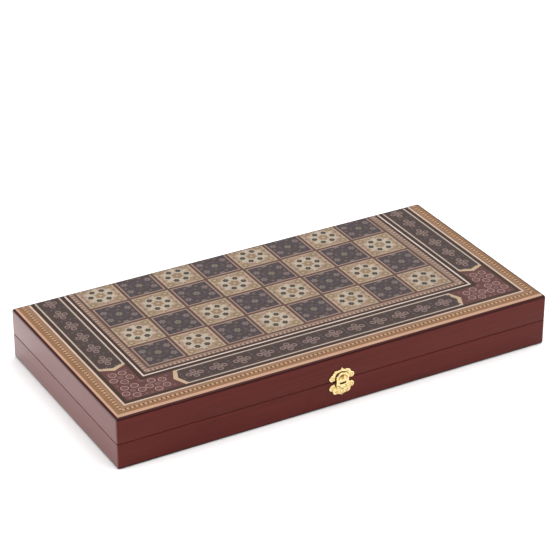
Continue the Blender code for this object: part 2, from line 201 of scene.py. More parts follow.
def carve(obj, cutters):
    """Cuts solids out of obj and keeps the result as a plain mesh."""
    tools = []
    for bm in cutters:
        mesh = bpy.data.meshes.new("cutter")
        outward(bm).to_mesh(mesh)
        bm.free()
        tools.append(link("cutter", mesh))
        modifier = obj.modifiers.new("cut", "BOOLEAN")
        modifier.operation = "DIFFERENCE"
        modifier.solver = "EXACT"
        modifier.object = tools[-1]
    evaluated = obj.evaluated_get(bpy.context.evaluated_depsgraph_get())
    mesh = bpy.data.meshes.new_from_object(evaluated)
    obj.modifiers.clear()
    obj.data = mesh
    for tool in tools:
        bpy.data.objects.remove(tool, do_unlink=True)
    return obj


# ---- shader tools


class Shader:
    """A node material. Most methods add a node and return its output."""

    def __init__(self, name):
        self.material = bpy.data.materials.new(name)
        self.material.use_nodes = True
        self.tree = self.material.node_tree
        self.coordinates = self.node("TexCoord").outputs["Object"]

    def node(self, kind, **settings):
        made = self.tree.nodes.new("ShaderNode" + kind)
        for key, value in settings.items():
            setattr(made, key, value)
        return made

    def feed(self, node, *values, first=0, **named):
        """Fills a node's sockets, in turn from the first and by name: Coat_Weight=1.0 and so on."""
        for key, value in [*enumerate(values, first), *named.items()]:
            socket = node.inputs[key if isinstance(key, int) else key.replace("_", " ")]
            if isinstance(value, bpy.types.NodeSocket):
                self.tree.links.new(value, socket)
            else:
                socket.default_value = value
        return node.outputs

    def set(self, **values):
        """Fills the Principled shader's sockets."""
        self.feed(self.tree.nodes["Principled BSDF"], **values)

    def math(self, operation, a, b=0.0):
        return self.feed(self.node("Math", operation=operation), a, b)[0]

    def plus(self, base, extra, share):
        return self.math("ADD", base, self.math("MULTIPLY", extra, share))

    def stretched(self, scale, vector=None):
        return self.feed(self.node("Mapping"), Vector=vector or self.coordinates, Scale=scale)[0]

    def noise(self, scale, detail=3.0, vector=None, roughness=0.5, distortion=0.0):
        return self.feed(self.node("TexNoise"), Vector=vector or self.coordinates, Scale=scale, Detail=detail,
                         Roughness=roughness, Distortion=distortion)[0]

    def levels(self, value, low, high, to_low=0.0, to_high=1.0):
        return self.feed(self.node("MapRange"), value, low, high, to_low, to_high)[0]

    def mix(self, amount, a, b):
        made = self.node("Mix", data_type="RGBA")
        a, b = [side if isinstance(side, bpy.types.NodeSocket) else (*side, 1.0) for side in (a, b)]
        self.feed(made, amount)
        return self.feed(made, a, b, first=6)[2]

    def bump(self, height, distance):
        return self.feed(self.node("Bump"), Strength=1.0, Distance=distance, Height=height)[0]


def scaled(color, factor):
    return tuple(channel * factor for channel in color)


# ---- materials

WOOD_DARK = (0.0730, 0.0085, 0.0060)
WOOD_RED = (0.1050, 0.0125, 0.0088)
WOOD_WARM = (0.1220, 0.0175, 0.0125)
WOOD_EDGE = (0.0340, 0.0026, 0.0018)


def lacquered_wood(name, ior):
    """Red-brown stained wood under gloss lacquer, its grain along each rail and mitred at the corners. It is
    darker along its rounded top and bottom edges."""
    s = Shader(name)
    x, y, z = s.feed(s.node("SeparateXYZ"), s.coordinates)

    def inside(half, away):
        return s.math("SUBTRACT", half, s.math("ABSOLUTE", away))

    on_end_rail = s.math("LESS_THAN", inside(HALF_LENGTH, x), inside(HALF_DEPTH, y))
    long_grain = s.noise(1.0, 6.0, s.stretched((14, 420, 420)), 0.62, 0.6)
    cross_grain = s.noise(1.0, 6.0, s.stretched((420, 14, 420)), 0.62, 0.6)
    grain = s.mix(on_end_rail, long_grain, cross_grain)
    cloud = s.noise(9.0, 3.0)
    colouring = s.mix(s.levels(grain, 0.3, 0.7), WOOD_DARK, WOOD_RED)
    colouring = s.mix(s.levels(cloud, 0.3, 0.7, 0.0, 0.35), colouring, WOOD_WARM)
    from_face = inside(MIDDLE, s.math("SUBTRACT", z, MIDDLE))
    edge = s.levels(s.plus(from_face, grain, 0.4 * MM), 1.9 * MM, 2.9 * MM, 1.0, 0.0)
    s.set(Base_Color=s.mix(edge, colouring, WOOD_EDGE), Roughness=s.levels(cloud, 0.3, 0.7, 0.26, 0.34))
    s.set(IOR=ior, Coat_Weight=0.25, Coat_Roughness=0.10, Coat_IOR=ior)
    s.set(Normal=s.bump(s.plus(s.noise(60.0, 2.0), grain, 0.15), 0.02 * MM))
    return s.material


def two_tone(name, pattern, dark, light, rough, relief=0.0, **sockets):
    """A surface between two colours, its roughness and relief following one pattern of noise."""
    s = Shader(name)
    scale, detail, distortion = pattern
    tone = s.noise(1.0, detail, s.stretched(scale), distortion=distortion)
    s.set(Base_Color=s.mix(tone, dark, light), Roughness=s.levels(tone, 0, 1, *rough), **sockets)
    if relief:
        s.set(Normal=s.bump(tone, relief * MM))
    return s.material


def ink(name):
    """Printed ink under satin lacquer: paper grain, patchy density and a faint wood grain. Made once each."""
    if name in MADE_INKS:
        return MADE_INKS[name]
    color = INKS[name]
    s = Shader("ink_" + name)
    speck = s.noise(2600.0, 2.0)
    patch = s.noise(35.0, 3.0)
    grain = s.noise(1.0, 4.0, s.stretched((25, 600, 600)))
    tone = s.plus(s.math("MULTIPLY", patch, 0.5), speck, 0.5)
    fade = s.mix(s.levels(tone, 0.3, 0.7), scaled(color, 0.82), scaled(color, 1.18))
    lifted = tuple(min(1.0, channel * 1.06 + 0.012) for channel in color)
    fade = s.mix(s.levels(grain, 0.35, 0.65, 0.0, 0.30), fade, lifted)
    s.set(Base_Color=fade, Roughness=s.levels(patch, 0.3, 0.7, 0.34, 0.44))
    s.set(IOR=1.24, Coat_Weight=0.2, Coat_Roughness=0.2, Coat_IOR=1.4)
    s.set(Normal=s.bump(s.plus(grain, speck, 0.3), 0.015 * MM))
    MADE_INKS[name] = s.material
    return s.material


def brass(name, color, roughness):
    """Plated brass with a little tarnish in its hollows and fine stamping marks."""
    s = Shader(name)
    patch = s.noise(900.0, 3.0)
    scratch = s.noise(1.0, 3.0, s.stretched((4000, 4000, 500)))
    hollow = s.node("NewGeometry").outputs["Pointiness"]
    tarnish = s.math("MULTIPLY", s.levels(hollow, 0.36, 0.48, 1.0, 0.0), 0.8)
    shine = s.mix(s.levels(patch, 0.35, 0.75, 0.0, 0.35), color, scaled(color, 0.72))
    s.set(Base_Color=s.mix(tarnish, shine, (0.20, 0.095, 0.025)), Metallic=1.0)
    s.set(Roughness=s.levels(patch, 0.2, 0.8, roughness * 0.75, roughness * 1.35))
    s.set(Normal=s.bump(s.plus(patch, scratch, 0.4), 0.02 * MM))
    return s.material


def turned_wood(name, dark, light):
    """A checker's wood: grain off centre and different on each one, turning marks and a satin lacquer."""
    s = Shader(name)
    chance = s.node("ObjectInfo").outputs["Random"]
    shifts = s.levels(chance, 0, 1, -0.12, 0.12), s.levels(chance, 0, 1, 0.02, 0.09)
    offset = s.feed(s.node("CombineXYZ"), *shifts)
    moved = s.feed(s.node("VectorMath", operation="ADD"), s.coordinates, offset[0])[0]
    wave = s.node("TexWave", wave_type="BANDS", bands_direction="Y", wave_profile="SIN")
    bands = s.stretched((60, 420, 60), moved)
    wave = s.feed(wave, Vector=bands, Scale=1.0, Distortion=3.5, Detail=3.0)["Fac"]
    fibre = s.noise(1.0, 5.0, s.stretched((180, 2200, 900), moved))
    tone = s.plus(s.math("MULTIPLY", wave, 0.45), fibre, 0.55)
    base = s.mix(s.levels(tone, 0.25, 0.75), dark, light)
    s.set(Base_Color=s.mix(s.levels(chance, 0, 1, 0.0, 0.35), base, dark))
    s.set(Roughness=s.levels(fibre, 0.3, 0.7, 0.30, 0.42), Normal=s.bump(fibre, 0.03 * MM))
    s.set(IOR=1.38, Coat_Weight=0.3, Coat_Roughness=0.12)
    return s.material


MADE_INKS = {}
INKS = {
    "peach": (0.400, 0.233, 0.152),
    "tan": (0.190, 0.093, 0.041),
    "khaki_tan": (0.185, 0.103, 0.059),
    "rope_ground": (0.192, 0.096, 0.048),
    "rope_light": (0.389, 0.226, 0.120),
    "rope_middle": (0.244, 0.132, 0.068),
    "rope_dark": (0.036, 0.010, 0.002),
    "small_rope_ground": (0.176, 0.112, 0.087),
    "small_rope_light": (0.312, 0.212, 0.155),
    "small_rope_middle": (0.238, 0.148, 0.106),
    "small_rope_dark": (0.075, 0.032, 0.017),
    "cream": (0.458, 0.329, 0.251),
    "brown": (0.026, 0.009, 0.004),
    "fine_cream": (0.345, 0.277, 0.231),
    "white": (0.480, 0.384, 0.336),
    "strip": (0.039, 0.022, 0.018),
    "knot": (0.211, 0.142, 0.125),
    "knot_shade": (0.068, 0.041, 0.039),
    "slate": (0.066, 0.060, 0.074),
    "chevron": (0.380, 0.270, 0.171),
    "maroon": (0.076, 0.025, 0.021),
    "rose": (0.340, 0.204, 0.174),
    "dusky_rose": (0.126, 0.058, 0.056),
    "grid": (0.075, 0.036, 0.024),
    "grid_soft": (0.109, 0.058, 0.042),
    "navy": (0.038, 0.025, 0.025),
    "violet": (0.048, 0.034, 0.045),
    "plum": (0.070, 0.047, 0.043),
    "khaki": (0.122, 0.100, 0.082),
    "mauve": (0.122, 0.093, 0.090),
    "rust": (0.105, 0.062, 0.045),
    "square_edge": (0.277, 0.182, 0.147),
    "sand": (0.234, 0.155, 0.103),
    "sand_pink": (0.300, 0.222, 0.160),
    "honey": (0.182, 0.126, 0.067),
    "ivory": (0.337, 0.277, 0.211),
    "flower": (0.040, 0.033, 0.024),
    "field": (0.494, 0.324, 0.179),
    "field_pale": (0.634, 0.454, 0.264),
    "point_dark": (0.060, 0.018, 0.010),
    "point_light": (0.614, 0.454, 0.284),
    "walnut_line": (0.030, 0.012, 0.007),
    "ivory_inlay": (0.754, 0.654, 0.484),
}


# ---- printed boards
# A drawing is in millimetres: u runs along X, and v from the hinges' axis towards the front.


class Print:
    """Flat shapes of ink, each painted over those before it, on a sheet that may be glued off centre."""

    def __init__(self, scale=1.0, du=0.0, dv=0.0):
        self.shapes = []
        self.sheet = scale, du, dv

    def add(self, tint, points):
        scale, du, dv = self.sheet
        self.shapes.append((tint, anticlockwise([(scale * u + du, scale * v + dv) for u, v in points])))

    def polygon(self, tint, points, centre, turn):
        """Paints points given about a centre, turned by so many degrees."""
        self.add(tint, [about(centre, turn, u, v) for u, v in points])

    def block(self, tint, u0, v0, u1, v1):
        self.add(tint, [(u0, v0), (u1, v0), (u1, v1), (u0, v1)])

    def disc(self, tint, u, v, radius, sides=12):
        self.star(tint, u, v, radius, radius, sides / 2)

    def star(self, tint, u, v, outer, inner, tips=6, turn=0.0):
        radii = (outer, inner)
        self.add(tint, [polar((u, v), radii[i % 2], turn + 180 * i / tips) for i in range(int(2 * tips))])


def printed_face(drawing, u0, v0, u1, v1):
    """Cuts the drawing to a rectangle. Returns its points and (corner numbers, ink) for each triangle."""
    near = []
    for tint, points in drawing.shapes:
        us, vs = zip(*points)
        if max(us) > u0 and min(us) < u1 and max(vs) > v0 and min(vs) < v1:
            near.append((tint, points))
    sheet = [(u0, v0), (u1, v0), (u1, v1), (u0, v1)]
    verts, faces, owners = triangulated([sheet] + [points for _, points in near], [], 1e-4)
    kept = []
    for face, owner in zip(faces, owners):
        middle = middle_of(verts, face)
        if u0 < middle.x < u1 and v0 < middle.y < v1 and owner and max(owner) > 0:
            kept.append((face, near[max(owner) - 1][0]))
    return verts, kept


def board_tile(name, drawing, area, face_z, back_z):
    """A closed slab of board with its part of the drawing on one face."""
    points, faces = printed_face(drawing, *area)
    used = sorted({tint for _, tint in faces})
    bm = bmesh.new()
    made = {}
    for face, tint in faces:
        for i in face:
            if i not in made:
                made[i] = bm.verts.new((points[i].x * MM, HINGE_AXIS.y - points[i].y * MM, face_z))
        bm.faces.new([made[i] for i in face]).material_index = used.index(tint)
    walls = extruded_rim(bm)
    for item in walls:
        if isinstance(item, bmesh.types.BMVert):
            item.co.z = back_z
    back = bmesh.ops.edgeloop_fill(bm, edges=[edge for edge in bm.edges if edge.is_boundary])["faces"]
    for item in walls + back:
        if isinstance(item, bmesh.types.BMFace):
            item.material_index = len(used)
    return finish_mesh(name, outward(bm), [ink(tint) for tint in used] + [BOARD_EDGE], 30)


def add_board(node, drawing, area, face_z, back_z):
    """A printed board of tiles that meet edge to edge. A small piece carries finer detail than a big one."""
    slot, columns, rows = ("printed_panel", 4, 2) if "panel" in node else ("playing_field", 2, 1)
    u0, v0, u1, v1 = area
    us = [u0 + (u1 - u0) * column / columns for column in range(columns + 1)]
    vs = [v0 + (v1 - v0) * row / rows for row in range(rows + 1)]
    for row in range(rows):
        for column in range(columns):
            part = (us[column], vs[row], us[column + 1], vs[row + 1])
            tile = board_tile(f"{node}_{row + 1}_{column + 1}", drawing, part, face_z, back_z)
            place(tile, node.split("_")[0], slot, node)


# ---- the chessboard print

SQUARE = 43.5  # along X
ROW = 43.25  # from the hinges' axis to the front
GRID = 4 * SQUARE  # half the grid's width
GRID_FRONT = 4 * ROW
GRID_MARGIN = 1.25  # the line round the grid and in each square
GRID_SHIFT = 0.4  # the print's layers sit a little off centre
BORDER_SHIFT = 1.4
CORNER_SHIFT = 0.8
STRIP_MIDDLE = 30.9  # from the grid to the middle of the strip of knots
STRIP_HALF = 13.9
STRIP_LINE = 1.8
KNOT_PITCH = 25.6
ROPE_PITCH = 4.65
PAST_FOLD = -30  # the borders run on past the hinges' axis, and the sheet's edge cuts them
SHEET = 0.997, 0.32, -2.2  # the printed sheet's scale and how far it is glued off centre


def nested_bands(p):
    """The border's plain bands, painted from the outside in. Each starts so far out from the grid."""
    bands = [(75.0, "peach"), (63.0, "tan"), (59.0, "rope_ground"), (55.2, "khaki_tan")]
    bands += [(51.2, "cream"), (49.2, "brown"), (44.8, "maroon"), (17.0, "brown")]
    bands += [(12.4, "white"), (10.5, "brown"), (7.4, "small_rope_ground")]
    for out, tint in bands:
        p.block(tint, BORDER_SHIFT - GRID - out, PAST_FOLD, BORDER_SHIFT + GRID + out, GRID_FRONT + out)


def side_run(side, out):
    """Where a band so far out from the grid runs on one side: its middle, its turn and its length."""
    if side == 0:
        return (BORDER_SHIFT, GRID_FRONT + out), 0, 2 * (GRID + out)
    return (BORDER_SHIFT + side * (GRID + out), (GRID_FRONT + out) / 2), -90 * side, GRID_FRONT + out


def rope(p, out, width, inks):
    """A twisted cord round three sides of the border: plump beads, leaning gaps and a finer row inside it."""
    bead_ink, gap_ink, fine_ink = inks
    half = width / 2
    bead = [(-1.35, 0.5), (-0.5, 1.45), (0.9, 1.45), (1.35, -0.5), (0.5, -1.45), (-0.9, -1.45)]
    bead = [(u, v * half / 1.75) for u, v in bead]
    gap = [(-0.15, -half), (0.75, -half), (0.15, half), (-0.75, half)]
    fine = [(-0.9, 0.55), (0.5, 0.75), (0.9, -0.55), (-0.5, -0.75)]
    inside = -half - 1.2
    repeat = [(bead_ink, bead, 0.0, 0.0), (gap_ink, gap, 0.5, 0.0)]
    repeat += [(fine_ink, fine, 0.2, inside), (fine_ink, fine, 0.7, inside)]
    for side in (-1, 0, 1):
        middle, turn, length = side_run(side, out)
        count = round(length / ROPE_PITCH)
        step = length / count
        for i in range(count):
            for tint, shape, share, across in repeat:
                distance = (i + 0.5 + share) * step - length / 2
                p.polygon(tint, shape, about(middle, turn, distance, across), turn)


def knot(p, centre, turn):
    """A small interlaced knot: four loops about a lattice of crossing strands."""
    corner = 0.45
    loops = ((-6.2, 0, 3.0, 2.8), (6.2, 0, 3.0, 2.8), (0, -4.4, 2.9, 2.7), (0, 4.4, 2.9, 2.7))
    for u, v, long, tall in loops:
        for shrink, tint in ((0.0, "knot"), (0.8, "knot_shade")):
            a, b = long - shrink, tall - shrink
            shape = [(a, b * corner), (a * corner, b), (-a * corner, b), (-a, b * corner)]
            shape += [(-x, -y) for x, y in shape]
            p.polygon(tint, shape, about(centre, turn, u, v), turn)
    for lean in (1, -1):
        for offset in (-3.2, 0, 3.2):
            strand = [(-3.9, -3.3 * lean), (-3.0, -3.9 * lean), (3.9, 3.3 * lean), (3.0, 3.9 * lean)]
            p.polygon("knot", [(0.75 * u + offset, 0.75 * v) for u, v in strand], centre, turn)
    for u, v in ((-3.2, 0), (0, 0), (3.2, 0), (-1.6, 1.8), (1.6, 1.8), (-1.6, -1.8), (1.6, -1.8)):
        p.star("knot_shade", *about(centre, turn, u, v), 0.75, 0.75, 2, turn)


def pointed_bar(tip, shoulder, half):
    return [(tip, 0), (shoulder, half), (-shoulder, half), (-tip, 0), (-shoulder, -half), (shoulder, -half)]


def knot_strip(p, side):
    """One pointed strip of knots, along the front for side 0, or along the left or right for -1 or 1."""
    middle, turn = (BORDER_SHIFT, GRID_FRONT + STRIP_MIDDLE), 0
    ends = (middle[0] - 0.8, middle[1])
    if side:
        middle, turn = (BORDER_SHIFT + side * (GRID + STRIP_MIDDLE), 0), 90
        ends = middle
    p.polygon("chevron", pointed_bar(162.5, 156.3, STRIP_HALF), ends, turn)
    line = [(153.5, STRIP_HALF), (153.5, -STRIP_HALF), (-153.5, -STRIP_HALF), (-153.5, STRIP_HALF)]
    p.polygon("fine_cream", line, middle, turn)
    p.polygon("strip", pointed_bar(157.6, 152.7, STRIP_HALF - STRIP_LINE), ends, turn)
    first = -5.5 * KNOT_PITCH
    for i in range(12):
        shift = first + i * KNOT_PITCH
        if not side or shift > 0:
            knot(p, about(middle, turn, shift, 0), turn)
    for i in range(13):
        shift = first + (i - 0.5) * KNOT_PITCH
        for across in (-4.5, 4.5):
            p.disc("slate", *about(middle, turn, shift, across), 1.3, 8)
        for across in (-9.6, 0, 9.6):
            p.star("knot_shade", *about(middle, turn, shift, across), 1.8, 1.0, 4)


def corner(p, side):
    """Rosettes of five rings each, with spots between them."""
    ring = [("rose", 4.1, 12), ("maroon", 3.35, 12), ("dusky_rose", 2.3, 8), ("flower", 1.0, 6)]
    for u, v, turn in ((205.3, 177.0, 90), (205.3, 203.5, 90), (179.4, 204.0, 0 if side > 0 else 180)):
        centre = (CORNER_SHIFT + side * u, v)
        p.disc("dusky_rose", *centre, 3.2, 10)
        for i in range(5):
            for tint, radius, sides in ring:
                p.disc(tint, *polar(centre, 8.8, turn + 72 * i), radius, sides)
    spots = [(192, 190), (215, 190), (190.5, 215), (190.5, 192.5), (212.5, 166), (194.5, 166), (166, 194.5)]
    spots += [(166, 213), (213.5, 214.5), (196, 214.5), (204, 190.5), (182, 214.5)]
    for u, v in spots:
        p.disc("dusky_rose", CORNER_SHIFT + side * u, v, 1.6, 8)


def inset_block(p, tint, u, v, inset):
    """One square of the grid, less an even margin."""
    across, deep = SQUARE / 2 - inset, ROW / 2 - inset
    p.block(tint, u - across, v - deep, u + across, v + deep)


def dark_square(p, u, v):
    """Navy ground with stars, inside a thin tan line."""
    for inset, tint in ((0, "grid"), (GRID_MARGIN, "grid_soft"), (2.0, "square_edge"), (3.1, "navy")):
        inset_block(p, tint, u, v, inset)
    for i in range(12):
        speck = "violet" if i % 3 else "plum"
        p.star(speck, *polar((u, v), 8.6, 30 * i + 15), 2.5, 1.6, 6, 30 * i)
    for du, dv in ((-6.4, 14.0), (6.4, 14.0), (-6.4, -14.0), (6.4, -14.0), (15.2, 0), (-15.2, 0)):
        p.star("plum", u + du, v + dv, 3.0, 1.8)
        p.disc("mauve", u + du, v + dv, 0.9, 6)
    p.star("khaki", u, v, 4.8, 2.8, 6, 30)
    p.disc("rust", u, v, 1.3, 8)
    for du in (-13.2, 13.2):
        for dv in (-7.9, 7.9):
            p.star("mauve", u + du, v + dv, 4.7, 2.7, 6, 30)
            p.disc("rust", u + du, v + dv, 1.1, 8)
        for dv in (-15.8, 15.8):
            p.star("violet", u + du, v + dv, 2.6, 1.7)
    half_star = [(-4.2, 0), (-2.4, 2.2), (-2.1, 4.2), (0, 3.0), (2.1, 4.2), (2.4, 2.2), (4.2, 0)]
    for side, turn in ((-1, 0), (1, 180)):
        p.polygon("mauve", half_star, (u, v + side * (ROW / 2 - 3.2)), turn)


def light_square(p, u, v):
    """Sand ground with six dark flowers in cream halos round a honey star."""
    for inset, tint in ((0, "grid"), (GRID_MARGIN, "sand_pink"), (3.4, "sand")):
        inset_block(p, tint, u, v, inset)
    for turn in (30, 90, 150):
        p.polygon("ivory", [(-16.5, -2.3), (16.5, -2.3), (16.5, 2.3), (-16.5, 2.3)], (u, v), turn)
    p.star("ivory", u, v, 14.4, 11.6)
    for i in range(6):
        p.disc("sand_pink", *polar((u, v), 16.3, 60 * i + 30), 1.5, 8)
        p.disc("ivory", *polar((u, v), 10.6, 60 * i), 4.7)
    p.star("sand", u, v, 7.0, 5.2, 6, 30)
    p.star("honey", u, v, 5.4, 3.4, 6, 30)
    p.star("sand_pink", u, v, 2.4, 1.4, 4, 20)
    for i in range(6):
        flower = polar((u, v), 10.6, 60 * i)
        p.star("flower", *flower, 3.7, 2.7, 6, 30)
        p.disc("plum", *flower, 0.8, 6)
    for du in (-15.0, 15.0):
        for dv in (-15.0, 15.0):
            p.star("honey", u + du, v + dv, 5.6, 3.4, 6, 45)
            p.star("sand_pink", u + du, v + dv, 2.2, 1.2, 4)
    for du, dv in ((0, 17.6), (0, -17.6), (17.8, 5.4), (17.8, -5.4), (-17.8, 5.4), (-17.8, -5.4)):
        p.star("grid_soft", u + du, v + dv, 1.7, 0.9, 4)


def cover_drawing(dark_first):
    """Half a chessboard and its border. The two halves make the whole board when the box lies open."""
    p = Print(*SHEET)
    nested_bands(p)
    rope(p, 57.1, 3.5, ("rope_light", "rope_dark", "rope_middle"))
    rope(p, 5.3, 3.3, ("small_rope_light", "small_rope_dark", "small_rope_middle"))
    half = GRID + GRID_MARGIN
    p.block("grid", GRID_SHIFT - half, PAST_FOLD, GRID_SHIFT + half, GRID_FRONT + GRID_MARGIN)
    for side in (-1, 0, 1):
        knot_strip(p, side)
    for side in (-1, 1):
        corner(p, side)
    for column in range(8):
        for row in range(4):
            square = dark_square if (column + row) % 2 == dark_first else light_square
            square(p, GRID_SHIFT + (column - 3.5) * SQUARE, (row + 0.5) * ROW)
    return p


# ---- the playing fields

POINTS = 6
POINT_LENGTH = 178
FIELD_HALF = (FIELD_HIGH.x - FIELD_LOW.x) / 2 / MM
FIELD_V = ((HINGE_AXIS.y - FIELD_HIGH.y) / MM, (HINGE_AXIS.y - FIELD_LOW.y) / MM)


def backgammon_point(p, end, middle, half, dark):
    """One long triangle from an end of the tray, with its outline, an inner tongue and a bead at the tip."""
    base = end * (FIELD_HALF - 5.5)
    tip = base - end * POINT_LENGTH
    body, line, heart = "point_light", "walnut_line", "field_pale"
    if dark:
        body, line, heart = "point_dark", "ivory_inlay", "rust"
    layers = [(line, 0, half, POINT_LENGTH), (body, 1.2, half - 1.4, POINT_LENGTH - 11.0)]
    layers += [(line, 6, 5.6, 96), (heart, 7, 4.7, 88)]
    for tint, inset, width, reach in layers:
        foot = base - end * inset
        p.add(tint, [(foot, middle - width), (base - end * reach, middle), (foot, middle + width)])
    p.star(line, tip - end * 3.4, middle, 3.6, 1.7, 4)
    p.star(body, tip - end * 3.4, middle, 2.3, 1.1, 4)


def field_drawing():
    """Six points from each short end of the tray, a border line and a rosette in the middle."""
    p = Print()
    low, high = FIELD_V
    for inset, tint in ((-5, "walnut_line"), (3.2, "ivory_inlay"), (4.2, "walnut_line"), (5.2, "field")):
        p.block(tint, -FIELD_HALF + inset, low + inset, FIELD_HALF - inset, high - inset)
    pitch = (high - low - 11.0) / POINTS
    centre = (low + high) / 2
    for end in (-1, 1):
        for i in range(POINTS):
            middle = centre + (i - (POINTS - 1) / 2) * pitch
            backgammon_point(p, end, middle, pitch / 2 - 0.6, (i + (end > 0)) % 2 == 0)
    rosette = [("walnut_line", 17.5, 10.5, 0), ("ivory_inlay", 16.4, 9.8, 0), ("point_dark", 15.2, 9.0, 0)]
    rosette += [("field_pale", 9.6, 5.6, 22.5), ("rust", 8.4, 4.8, 22.5)]
    for tint, outer, inner, turn in rosette:
        p.star(tint, 0, centre, outer, inner, 8, turn)
    p.disc("ivory_inlay", 0, centre, 2.6)
    for across in (-1, 1):
        p.block("walnut_line", -0.5, centre + across * 24, 0.5, centre + across * (high - low - 14) / 2)
        for away in (24, 98):
            p.star("walnut_line", 0, centre + across * away, 4.6, 2.2, 4)
            p.star("ivory_inlay", 0, centre + across * away, 3.2, 1.5, 4)
    return p


def add_boards():
    """The print on the lid and underneath the base, and the two playing fields."""
    edge = 2.72  # just past the frame's rebate
    recess = 0.05 * MM
    u_edge = HALF_LENGTH / MM - edge
    v_edges = [(HINGE_AXIS.y + side * HALF_DEPTH) / MM - side * edge for side in (-1, 1)]
    cover = (-u_edge, v_edges[0], u_edge, v_edges[1])
    field = (-FIELD_HALF, FIELD_V[0], FIELD_HALF, FIELD_V[1])
    lid_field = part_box("lid_playing_field")
    add_board("lid_panel", cover_drawing(1), cover, HEIGHT - recess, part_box("lid_panel")[0].z)
    add_board("base_panel", cover_drawing(0), cover, recess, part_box("base_panel")[1].z)
    add_board("lid_playing_field", field_drawing(), field, lid_field[0].z, lid_field[1].z)
    add_board("base_playing_field", field_drawing(), field, FIELD_HIGH.z, FIELD_LOW.z)


# ---- the two frames

CORNER_RADIUS = 2.5 * MM
OUTER_RADIUS = 2.4 * MM
SEAM_RADIUS = 0.8 * MM
REBATE = 2.7 * MM
INNER_EASE = 0.5 * MM
HINGE_GAP = 0.3 * MM
SEAT_DEPTH = 1.3 * MM


def frame_profile():
    """A frame's section as (depth in from the side, height) points, for the base."""
    outer = arc((OUTER_RADIUS, OUTER_RADIUS), OUTER_RADIUS, 270, 180, 8)
    seam = arc((SEAM_RADIUS, RIM - SEAM_RADIUS), SEAM_RADIUS, 180, 90, 5)
    inner = arc((WALL - INNER_EASE, RIM - INNER_EASE), INNER_EASE, 90, 0, 3)
    floor = FIELD_LOW.z
    return [(REBATE, 0)] + outer + seam + inner + [(WALL, floor), (REBATE, floor)]


def frame_ring(name, is_lid):
    """A tray's four rails as one swept ring with rounded upright edges."""
    steps = 6
    bm = bmesh.new()
    rings = []
    for sx, sy, first in ((1, 1, 0), (-1, 1, 90), (-1, -1, 180), (1, -1, 270)):
        middle = Vector((sx * (HALF_LENGTH - CORNER_RADIUS), sy * (HALF_DEPTH - CORNER_RADIUS)))
        for i in range(steps + 1):
            out = Vector(polar((0, 0), 1, first + 90 * i / steps))
            ring = []
            for depth, height in frame_profile():
                spot = middle + out * max(CORNER_RADIUS - depth, 0)
                spot -= Vector((sx, sy)) * max(depth - CORNER_RADIUS, 0)
                ring.append(bm.verts.new((spot.x, spot.y, HEIGHT - height if is_lid else height)))
            rings.append(ring)
    closed_sweep(bm, rings)
    bmesh.ops.remove_doubles(bm, verts=bm.verts, dist=1e-6)
    bmesh.ops.dissolve_degenerate(bm, edges=bm.edges, dist=1e-7)
    return finish_mesh(name, outward(bm), [FRAME_WOOD, END_WOOD])


def hinge_cutters():
    """The seats for the leaves, which meet at the seam, and the round clearance for the knuckles."""
    cutters = []
    for number in (1, 2):
        low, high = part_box(f"base_hinge_leaf_{number}")
        seat_low = (low.x - HINGE_GAP, low.y - HINGE_GAP, RIM - SEAT_DEPTH)
        seat_high = (high.x + HINGE_GAP, HALF_DEPTH + WALL, HEIGHT - RIM + SEAT_DEPTH)
        cutters.append(box_solid(seat_low, seat_high))
        half = ((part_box(f"lid_hinge_leaf_{number}")[1].x - low.x) / 2 + HINGE_GAP) / MM
        centre = Matrix.Translation(((low.x + high.x) / 2, HINGE_AXIS.y, MIDDLE))
        along_x = centre @ Matrix.Rotation(math.pi / 2, 4, "Y")
        cutters.append(turned([(2.4, -half), (2.4, half)], 40, along_x))
    return cutters


def add_frames():
    """Both trays' frames. Their short ends take the glossier of the two woods."""
    for body, is_lid in (("base", False), ("lid", True)):
        ring = carve(frame_ring(f"{body}_frame", is_lid), hinge_cutters())
        ring.data.set_sharp_from_angle(angle=math.radians(40))
        for face in ring.data.polygons:
            at_end = abs(face.center.x) > HALF_LENGTH - CORNER_RADIUS
            face.material_index = int(at_end and abs(face.normal.x) > 0.71)
        rails = [f"{body}_{side}_rail" for side in ("front", "back", "left", "right")]
        place(ring, body, "lacquered_wood", *rails)


# ---- the clasp
# Outlines, reliefs and painted shade are in mm, as x and z about the middle of the seam.

PLATE_FRONT = -121.1
THICKNESS = 0.8  # of the stamped sheet
ROUNDED = 0.35  # how far in its front edge is rounded
PUFF = 0.35  # how far a plate swells inside its edge
DOME = 0.86  # how far the hasp's middle stands proud
PLAIN, HALF_SHADE, DEEP_SHADE = 0, 1, 2  # plain brass, then two levels of painted shade, as places in a stamped piece's materials


def mirrored(right_half):
    return right_half + [(-x, z) for x, z in reversed(right_half[1:-1])]


def in_outline(x, z, outline):
    inside = False
    for (x0, z0), (x1, z1) in pairs(outline):
        if (z0 > z) != (z1 > z) and x < (x1 - x0) * (z - z0) / (z1 - z0) + x0:
            inside = not inside
    return inside


def distance_to(x, z, outlines):
    """How far a point is from the nearest side of the outlines."""
    spot = Vector((x, z))
    best = 1e9
    for outline in outlines:
        for a, b in pairs(outline):
            share = geometry.intersect_point_line(spot, Vector(a), Vector(b))[1]
            near = Vector(a).lerp(Vector(b), min(1, max(0, share)))
            best = min(best, (near - spot).length)
    return best


def inner_spots(outlines, step):
    """A grid of points inside the first outline and outside the others."""
    xs, zs = zip(*outlines[0])
    spots = []
    for i in range(int((max(xs) - min(xs)) / step)):
        for k in range(int((max(zs) - min(zs)) / step)):
            spot = (min(xs) + (i + 0.5) * step, min(zs) + (k + 0.5) * step)
            inside = [in_outline(*spot, outline) for outline in outlines]
            if inside[0] and not any(inside[1:]) and distance_to(*spot, outlines) > 0.3 * step:
                spots.append(spot)
    return spots


